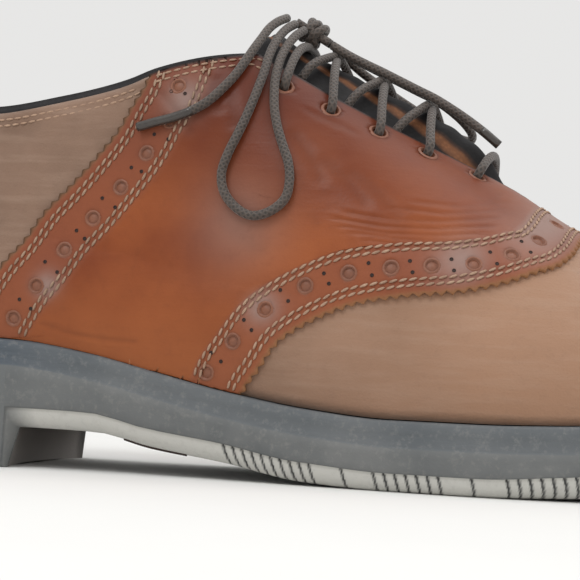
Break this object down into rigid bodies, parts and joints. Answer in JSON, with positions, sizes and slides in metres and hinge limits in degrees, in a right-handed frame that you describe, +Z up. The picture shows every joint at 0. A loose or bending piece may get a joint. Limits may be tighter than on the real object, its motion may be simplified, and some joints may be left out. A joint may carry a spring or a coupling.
{
  "type": "saddle shoe",
  "caption": "Men's lace-up saddle shoe with a leather saddle over a nubuck upper, punched bands and a moulded rubber sole with a low heel.",
  "frame": {"origin": "on the floor under the middle of the shoe's box", "axes": "+X towards the toe, -Y towards the outer side, +Z up"},
  "size_m": [0.305, 0.1087, 0.1348],
  "materials": {
    "nubuck": "matte napped",
    "saddle_leather": "semi gloss",
    "tongue_leather": "satin",
    "lace": "waxed cotton",
    "lining": "matte",
    "sole_rubber": "matte"
  },
  "bodies": {
    "root": {"outsole": "sole_rubber", "insole": "lining", "upper": "nubuck", "saddle": "saddle_leather", "tongue": "tongue_leather", "lace_bar_0": "lace", "lace_cross_1": "lace", "lace_cross_2": "lace", "lace_cross_3": "lace", "lace_bar_4": "lace", "lace_knot": "lace", "lace_loop_near": "lace", "lace_loop_far": "lace", "lace_end_near": "lace", "lace_end_far": "lace"}
  },
  "joints": []
}
